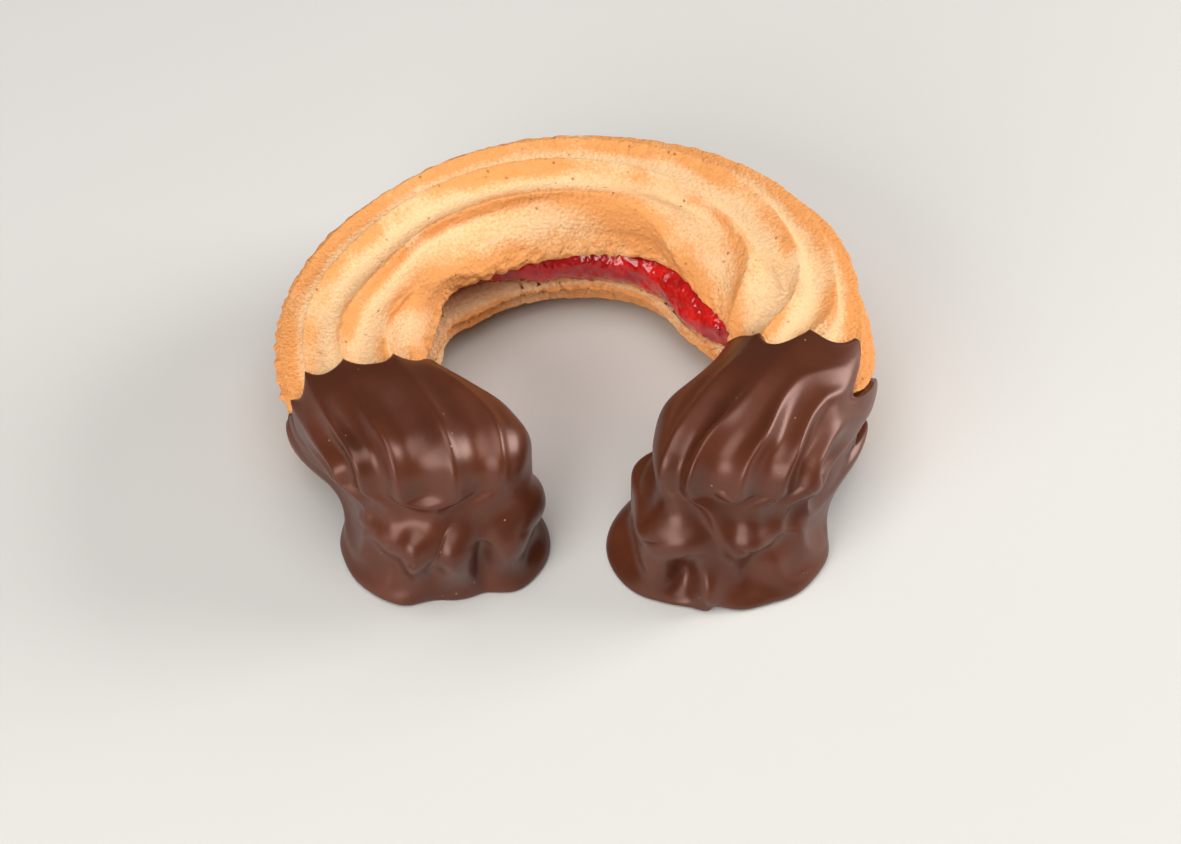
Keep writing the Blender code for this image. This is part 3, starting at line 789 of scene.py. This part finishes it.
def jam_piece():
    """Ribbon of jam between the flat faces: a rounded band whose inner edge comes forward where it shows,
    with lumps and bubbles there."""
    settings = bpy.context.scene.crescent_jam
    rows = np.linspace(-JAM_END, JAM_END, JAM_ROWS)[:, None]
    turn = np.linspace(0, 360 * DEG, JAM_COLUMNS, endpoint=False)[None, :]
    x, y, across_x, across_y = station(rows)
    outer, inner = half_widths(rows, True)
    shows = ease(rows, *JAM_SHOWS_FROM) * (1 - ease(rows, *JAM_SHOWS_TO))
    outer = outer - JAM_OUTER_SETBACK
    inner = inner - JAM_HIDDEN_SETBACK + (JAM_HIDDEN_SETBACK - JAM_INNER_SETBACK) * shows
    low = flat_height(y, True)
    high = flat_height(y, False)
    edge = 0.5 * (high - low)
    across = np.where(np.cos(turn) > 0, outer - edge, inner - edge) * np.sign(np.cos(turn))
    across = across + edge * signed_power(np.cos(turn), JAM_POWERS[0])
    height = (low + high) / 2 + edge * signed_power(np.sin(turn), JAM_POWERS[1])
    rings = np.stack([x + across_x * across, y + across_y * across, height + 0 * across], axis=-1)
    inside = ease(-np.cos(turn), *JAM_INSIDE)
    swell = sum(size * rough(rings, wide, seed) for size, wide, seed in JAM_LUMPS)
    rings = rings + ring_normals(rings) * (swell * inside)[..., None]
    random = np.random.default_rng(BUBBLE_SEED)
    bubbles = np.zeros(rings.shape[:2])
    for _ in range(settings.bubbles):
        row = random.integers(*BUBBLE_ROWS)
        column = random.integers(*BUBBLE_COLUMNS)
        radius = random.uniform(*BUBBLE_RADII) * MM
        reach = np.linalg.norm(rings - rings[row, column], axis=-1) / radius
        bubbles = np.maximum(bubbles, BUBBLE_HEIGHT * radius * np.sqrt(np.clip(1 - reach**2, 0, 1)))
    rings = rings + ring_normals(rings) * bubbles[..., None]
    dress(ring_skin("jam", rings, {}), jam_material(settings), "jam")


def jam_material(settings):
    """Set jam: deep clear red, wet gloss."""
    recipe = Recipe("jam", Roughness=0.12, IOR=1.45, Coat_Weight=0.6, Coat_Roughness=0.06)
    cloud = recipe.noise(JAM_CLOUD, 3.0)
    base = recipe.mix(cloud.step(0.3, 0.7), settings.deep, settings.clear)
    ripple = recipe.noise(JAM_RIPPLE, 3.0, 0.6)
    return recipe.finish(
        Base_Color=base,
        Roughness=0.1 + 0.14 * cloud,
        Normal=recipe.bump(ripple, JAM_RELIEF, 0.5),
    )


def equal_steps(strip, count):
    """Points at equal steps of length along an open strip, its last point left out."""
    steps = np.linalg.norm(np.diff(strip[:, :3], axis=0), axis=1)
    length = np.concatenate([[0.0], np.cumsum(steps)])
    wanted = np.linspace(0, length[-1], count, endpoint=False)
    return np.stack([np.interp(wanted, length, column) for column in strip.T], axis=-1)


def closed_ring(upper, lower):
    """One ring: over the upper biscuit, down the gap beside the jam, under the lower one and up again."""
    inner_gap = np.stack([upper[-1], lower[0]])
    outer_gap = np.stack([lower[-1], upper[0]])
    strips = (upper, inner_gap, lower, outer_gap)
    counts = (TIER_COLUMNS, GAP_COLUMNS, TIER_COLUMNS, GAP_COLUMNS)
    return np.concatenate([equal_steps(strip, count) for strip, count in zip(strips, counts)])


def across_slit(row):
    """The points that face those of the last ring over its slit, which starts at the topmost point."""
    return row[(2 * row[:, 2].argmax() - 1 - np.arange(len(row))) % len(row)]


def smoothed(values, passes):
    """Each pass moves every point to the average of itself and its neighbours round and along the grid,
    over the slit of the last ring too. The first row stays where it is."""
    for _ in range(passes):
        values = (np.roll(values, 1, axis=1) + 2 * values + np.roll(values, -1, axis=1)) / 4
        longer = np.concatenate([values, across_slit(values[-1])[None]])
        middle = (longer[:-2] + 2 * longer[1:-1] + longer[2:]) / 4
        values = np.concatenate([values[:1], middle])
    return values


def softened(points, passes, share):
    """The points moved towards their smoothed places by a share for each of them."""
    return points + (smoothed(points, passes) - points) * share[..., None]


def foot_reach(turn, side):
    """Reach of the foot's outline from its centre: a mean of its sizes in which those near the turn
    count most."""
    away = (turn[..., None] - FOOT_PLACES + np.pi) % (2 * np.pi) - np.pi
    near = np.exp(-((away / FOOT_SOFTNESS) ** 2)) + 1e-9
    return (near * FOOT_REACH[side]).sum(axis=-1) / near.sum(axis=-1)


def spread_foot(points, distance, side):
    """Chocolate that ran down: towards the ground the wall moves out to the foot's outline, upright at
    the ground and hollow above; what would lie below the ground is laid flat on it."""
    centre_x, centre_y = FOOT_CENTRES[side]
    from_x, from_y = points[..., 0] - centre_x, points[..., 1] - centre_y
    reach = np.hypot(from_x, from_y)
    height = np.clip(points[..., 2] / FOOT_TOP, 0, 1)
    below = np.clip(-points[..., 2] / FOOT_CUT_OFF, 0, 1)
    low = (1 - height ** FOOT_CURVE[0]) ** FOOT_CURVE[1] * (1 - below) * ease(np.abs(distance), *FOOT_RUN)
    outwards = np.maximum(foot_reach(np.arctan2(from_y, from_x), side) - reach, 0) * low
    grown = 1 + outwards / np.maximum(reach, MM)
    flat = np.maximum(points[..., 2], 0.0)
    return np.stack([centre_x + from_x * grown, centre_y + from_y * grown, flat], axis=-1)


def coat_rings(side, share, grow, ridges, longer, foot):
    """Rings round both biscuits at shares of the way from the scalloped edge to the end. A fourth number
    of each point is the depth that the ridges would cut there, over the blunt end too."""
    edge = EDGES[side]
    end = DOUGH_END + longer
    rows = edge + (side * DOUGH_END - edge) * share
    skins = []
    for lower in (False, True):
        angle = dome_angles(lower, RAW_COLUMNS)
        shift = edge_shift(rows, angle, crest_number(angle, rows, lower))
        if lower:
            outer_side = ease(np.cos(angle), *LOWER_EARLIER_COSINES)
            shift = shift - side * LOWER_EARLIER[side] * (1 - share) * outer_side
        distance = rows + shift + side * longer * share
        standing = foot and lower
        skin = strand_point(angle, distance, lower, end, COAT_OPENING, grow, ridges, standing)
        if standing:
            skin = spread_foot(skin, distance, side)
        up, power = (-1.0, 2 / LOWER_POWER) if lower else (1.0, 2 / UPPER_POWER)
        seen = angle_across(angle, rounding(distance, end, COAT_OPENING), power, up)
        cut = ridge_cut(seen, crest_number(seen, distance, lower), distance, lower, COAT_CREST_ROUNDING)
        from_flat = up * (skin[..., 2] - flat_height(skin[..., 1], lower))
        cut = cut * ease(from_flat, *COAT_RIDGE_FADE)
        if lower:
            cut = cut * LOWER_COAT_RIDGES * ease(skin[..., 2], *FOOT_RIDGE_FADE)
        skins.append(np.concatenate([skin, cut[..., None]], axis=-1))
    return np.stack([closed_ring(upper, lower) for upper, lower in zip(*skins)])


def coat_shares(side):
    """Shares of the way along: small ones over the lip, then even steps, and steps of the same length
    along the curve of the blunt end."""
    length = DOUGH_END + COAT_THICKNESS - side * EDGES[side]
    bend = 1 - END_ROUNDING / length
    lip = LIP_RUN * np.sin(np.linspace(0, 90 * DEG, LIP_ROWS)) ** 2
    even = np.linspace(LIP_RUN, bend, int((bend - LIP_RUN) * length / COAT_STEP))[1:]
    turn = np.linspace(0, 90 * DEG, END_SAMPLES)
    ahead, across = np.sin(turn) ** (2 / END_POWER), np.cos(turn) ** (2 / END_POWER)
    walked = np.concatenate([[0.0], np.cumsum(np.hypot(np.diff(ahead), np.diff(across)))]) * END_ROUNDING
    steps = np.linspace(0, walked[-1], int(walked[-1] / COAT_STEP))[1:]
    return np.concatenate([lip, even, bend + (1 - bend) * np.interp(steps, walked, ahead)])[:, None]


def coat_normals(points):
    """Unit normals of the coat's rings, with the ring beyond the last one's slit counted in, averaged a
    little because they are unsure at the slit's tip."""
    normal = ring_normals(np.concatenate([points, across_slit(points[-1])[None]]))[:-1]
    for _ in range(NORMAL_PASSES):
        normal[-1] = (normal[-1] + normal[-2]) / 2
        normal[1:-1] = (normal[:-2] + 2 * normal[1:-1] + normal[2:]) / 4
        normal = (np.roll(normal, 1, axis=1) + 2 * normal + np.roll(normal, -1, axis=1)) / 4
    return normal / np.linalg.norm(normal, axis=-1, keepdims=True)


def end_place(points, side):
    """How far across the strand's end and how far forward of it each point lies."""
    x, y, across_x, across_y = station(np.array(side * DOUGH_END))
    from_end = points - np.array([x, y, 0.0])
    return from_end[..., 0] * across_x + from_end[..., 1] * across_y, from_end @ end_direction(side)


def with_lumps(points, side):
    """Moves the surface along its normals by the end's lumps and dents, and draws in the waist behind
    the end."""
    across, ahead = end_place(points, side)
    swell = np.zeros(across.shape)
    for place, widths, size in LUMPS[side]:
        away = [(value / MM - p) / w for value, p, w in zip((across, points[..., 2], ahead), place, widths)]
        swell = swell + size * MM * np.exp(-sum(part**2 for part in away))
    waist = (flat_height(points[..., 1], False) + flat_height(points[..., 1], True)) / 2
    beside = 1 - ease(ahead, *WAIST_FADE)
    swell = swell - WAIST_DEPTH * beside * np.exp(-(((points[..., 2] - waist) / WAIST_HEIGHT) ** 2))
    return points + coat_normals(points) * swell[..., None]


def poured_coat(side):
    """Outer rings of the chocolate, smoothed at first, as a thick liquid rounds itself. Then the front is
    set back above the shelf, the ridges are cut in, the slit and the shelf are evened out and the lumps
    are put on."""
    share = coat_shares(side)
    lip = np.sqrt(np.clip(1 - (1 - np.clip(share / LIP_RUN, 0, 1)) ** 2, 0, 1))
    away = np.abs(EDGES[side] + (side * DOUGH_END - EDGES[side]) * share)
    grow = COAT_GAP + LIP_THICKNESS * (LIP_EDGE + (1 - LIP_EDGE) * lip)
    grow = grow + (COAT_THICKNESS - LIP_THICKNESS) * ease(away, *UNDER_COAT_RUN)
    start, full = RIDGES[side]
    ridges = start + (full - start) * ease(share, *RIDGE_RUN[side])
    outer = coat_rings(side, share, grow, 0.0, COAT_THICKNESS, True)
    cut, outer = outer[..., 3] * ridges, outer[..., :3]
    even = ease(share, *POURING_RUN)
    outer = softened(outer, POURING, even)
    across, ahead = end_place(outer, side)
    low, high = FRONT_HEIGHTS
    in_front = ease(ahead, *FRONT_FADE) * ease(outer[..., 2], *low) * (1 - ease(outer[..., 2], *high))
    outer = softened(outer, FRONT_PASSES, in_front)
    back = SHELF_DEPTH * ease(outer[..., 2], *SHELF_HEIGHTS) * ease(ahead, *SHELF_FADE)
    outer = outer - end_direction(side) * back[..., None]
    outer = outer - coat_normals(outer) * cut[..., None]
    at_slit = np.exp(-((across / SLIT_WIDTH) ** 2)) * ease(ahead, *SLIT_FADE)
    at_shelf = np.exp(-(((outer[..., 2] - SHELF_MIDDLE) / SHELF_WIDTH) ** 2)) * ease(ahead, *FRONT_FADE)
    outer = softened(outer, SLIT_PASSES, np.maximum(at_slit, at_shelf))
    outer = softened(with_lumps(outer, side), SETTLING, even)
    outer[..., 2] = np.maximum(outer[..., 2], 0.0)
    return outer


def chocolate_piece(name, side, material):
    """Cup of set chocolate over one end: a poured coat outside and a lining over the dough inside. The
    skirt attribute marks its lowest part, at the ground."""
    outer = poured_coat(side)
    inner_share = np.linspace(0, 1, LINING_ROWS)[:, None] ** LINING_CROWDING
    lining = coat_rings(side, inner_share, COAT_GAP, 1.0, COAT_GAP - DOUGH_SHORTER, False)[..., :3]
    rings = np.concatenate([lining[::-1], outer])
    piece = ring_skin(name, rings, {"skirt": 1 - ease(rings[..., 2], 0.0, SKIRT_HEIGHT)})
    dress(piece, material, name)


def chocolate_material(settings):
    """Set dark chocolate: satin gloss with pin bubbles and dust specks."""
    recipe = Recipe("chocolate", IOR=1.6, Specular_Tint=settings.sheen)
    cloud = recipe.noise(COAT_CLOUD, 3.0)
    base = recipe.mix(cloud.step(0.3, 0.7), settings.dark, settings.warm)
    dots = recipe.cells(COAT_DOTS)
    speck = (1 - dots.step(0.04, 0.09)) * recipe.noise(COAT_DOT_PATCHES, 2.0).step(0.5, 0.6)
    base = recipe.mix(speck * 0.7, base, settings.speck)
    # The lowest part, at the ground, is mixed towards the speck colour and so is lighter at the bottom.
    base = recipe.mix(recipe.attribute("skirt") * 0.6, base, settings.speck)
    skin = recipe.noise(COAT_GRAIN, 2.0)
    return recipe.finish(
        Base_Color=base,
        Roughness=settings.satin + 0.08 * (cloud - 0.5),
        Normal=recipe.bump(skin + 0.5 * speck, COAT_RELIEF, 0.25),
    )


def add_light(name, azimuth, lift, size, power):
    """Soft square lamp aimed at the biscuit from an azimuth (0 is +X, 90 is +Y) and a lift in degrees."""
    lamp = bpy.data.lights.new(name, "AREA")
    lamp.size = size
    lamp.energy = power
    lamp.color = LAMP_COLOUR
    turn = Matrix.Rotation((azimuth + 90) * DEG, 4, "Z") @ Matrix.Rotation((90 - lift) * DEG, 4, "X")
    new_object(name, lamp).matrix_world = turn @ Matrix.Translation((0, 0, LAMP_DISTANCE))


def studio():
    """Pale floor, soft lamps, a pale surround and the camera."""
    settings = bpy.context.scene.crescent_studio
    mesh = bpy.data.meshes.new("floor")
    reach = settings.floor_size / 2
    corners = [(-reach, -reach, 0), (reach, -reach, 0), (reach, reach, 0), (-reach, reach, 0)]
    mesh.from_pydata(corners, [], [(0, 1, 2, 3)])
    recipe = Recipe("pale_floor", Roughness=0.6)
    mesh.materials.append(recipe.finish(Base_Color=settings.floor_colour))
    floor = new_object("floor", mesh)
    world = bpy.data.worlds.new("surround")
    bpy.context.scene.world = world
    world.use_nodes = True
    inputs = world.node_tree.nodes["Background"].inputs
    inputs["Color"].default_value = (1.0, 1.0, 1.0, 1.0)
    inputs["Strength"].default_value = settings.surround
    for name, (azimuth, lift, size, power) in LAMPS.items():
        add_light(name, azimuth, lift, size, getattr(settings, power))
    lens = bpy.data.cameras.new("camera")
    lens.lens = CAMERA_LENS
    lens.sensor_width = CAMERA_SENSOR
    lens.clip_start = 0.01
    camera = new_object("camera", lens)
    camera.location = CAMERA_PLACE
    camera.rotation_euler = (90 * DEG - CAMERA_LIFT, 0, 0)
    bpy.context.scene.camera = camera
    bpy.context.scene.view_settings.view_transform = "Standard"


def colour(name, description, default):
    return bpy.props.FloatVectorProperty(
        name=name, description=description, default=default, size=4, min=0.0, max=1.0, subtype="COLOR"
    )


def amount(name, description, default, **more):
    return bpy.props.FloatProperty(name=name, description=description, default=default, **more)


class CrescentDough(bpy.types.PropertyGroup):
    """Finish of the two biscuits."""

    crumb: amount("Crumb", "Height of the rough crumb", 0.16 * MM, unit="LENGTH", precision=5)
    cream: colour("Cream", "Dough in the valleys", (0.97, 0.65, 0.36, 1.0))
    toasted: colour("Toasted", "Dough along the crests and rims", (0.87, 0.37, 0.115, 1.0))
    # Painted shade inside the small holes: the dark colour that the pits are given.
    pore_shade: colour("Pore", "Inside of the small holes", (0.30, 0.13, 0.04, 1.0))


class CrescentJam(bpy.types.PropertyGroup):
    """Finish of the jam."""

    bubbles: bpy.props.IntProperty(name="Bubbles", description="Number of small bubbles", default=60, min=0)
    deep: colour("Deep", "Thick jam", (0.34, 0.002, 0.004, 1.0))
    clear: colour("Clear", "Thin jam", (0.62, 0.008, 0.008, 1.0))


class CrescentChocolate(bpy.types.PropertyGroup):
    """Finish of the chocolate."""

    satin: amount("Satin", "Roughness of the gloss", 0.36, min=0.0, max=1.0, subtype="FACTOR")
    dark: colour("Dark", "Darker chocolate", (0.064, 0.016, 0.006, 1.0))
    warm: colour("Warm", "Lighter chocolate", (0.092, 0.023, 0.009, 1.0))
    sheen: colour("Sheen", "Tint of the gloss", (1.0, 0.66, 0.6, 1.0))
    speck: colour("Speck", "Dust specks and pin bubbles", (0.40, 0.25, 0.17, 1.0))


class CrescentStudio(bpy.types.PropertyGroup):
    """Floor and light."""

    floor_size: amount("Floor", "Side of the floor", 3.0, unit="LENGTH")
    floor_colour: colour("Floor Colour", "Colour of the pale floor", (0.62, 0.62, 0.61, 1.0))
    surround: amount("Surround", "Strength of the pale surround", 0.1)
    top_power: amount("Top Lamp", "Power of the lamp above", 2.6, unit="POWER")
    right_power: amount("Right Lamp", "Power of the lamp on the right", 3.2, unit="POWER")
    front_power: amount("Front Lamp", "Power of the lamp in front", 2.8, unit="POWER")


class AddUpperBiscuit(bpy.types.Operator):
    """Adds the upper biscuit with its piped ridges"""

    bl_idname = "crescent.upper_biscuit"
    bl_label = "Upper Biscuit"

    def execute(self, context):
        dough_piece("upper_biscuit", False, "upper_dough")
        return {"FINISHED"}


class AddLowerBiscuit(bpy.types.Operator):
    """Adds the lower biscuit"""

    bl_idname = "crescent.lower_biscuit"
    bl_label = "Lower Biscuit"

    def execute(self, context):
        dough_piece("lower_biscuit", True, "lower_dough")
        return {"FINISHED"}


class AddJam(bpy.types.Operator):
    """Adds the ribbon of jam with its bubbles"""

    bl_idname = "crescent.jam"
    bl_label = "Jam"

    def execute(self, context):
        jam_piece()
        return {"FINISHED"}


class AddChocolate(bpy.types.Operator):
    """Adds the two chocolate ends"""

    bl_idname = "crescent.chocolate"
    bl_label = "Chocolate Ends"

    def execute(self, context):
        material = chocolate_material(context.scene.crescent_chocolate)
        chocolate_piece("chocolate_left", -1, material)
        chocolate_piece("chocolate_right", 1, material)
        return {"FINISHED"}


class AddStudio(bpy.types.Operator):
    """Adds the pale floor, the soft lamps and the camera"""

    bl_idname = "crescent.studio"
    bl_label = "Studio"

    def execute(self, context):
        studio()
        return {"FINISHED"}


OPERATORS = (AddUpperBiscuit, AddLowerBiscuit, AddJam, AddChocolate, AddStudio)
GROUPS = {
    "crescent_dough": CrescentDough,
    "crescent_jam": CrescentJam,
    "crescent_chocolate": CrescentChocolate,
    "crescent_studio": CrescentStudio,
}


class CrescentPanel(bpy.types.Panel):
    """Lists the pieces and their settings."""

    bl_idname = "VIEW3D_PT_crescent"
    bl_label = "Linzer Crescent"
    bl_space_type = "VIEW_3D"
    bl_region_type = "UI"
    bl_category = "Crescent"

    def draw(self, context):
        for operator in OPERATORS:
            self.layout.operator(operator.bl_idname)
        for name, group in GROUPS.items():
            box = self.layout.box()
            box.label(text=group.__doc__)
            for field in group.__annotations__:
                box.prop(getattr(context.scene, name), field)


def register():
    for piece in (*GROUPS.values(), *OPERATORS, CrescentPanel):
        bpy.utils.register_class(piece)
    for name, group in GROUPS.items():
        setattr(bpy.types.Scene, name, bpy.props.PointerProperty(type=group))


def unregister():
    for name in GROUPS:
        delattr(bpy.types.Scene, name)
    for piece in (CrescentPanel, *reversed(OPERATORS), *GROUPS.values()):
        bpy.utils.unregister_class(piece)


def main():
    register()
    bpy.ops.crescent.upper_biscuit()
    bpy.ops.crescent.lower_biscuit()
    bpy.ops.crescent.jam()
    bpy.ops.crescent.chocolate()
    bpy.ops.crescent.studio()


if __name__ == "__main__":
    main()
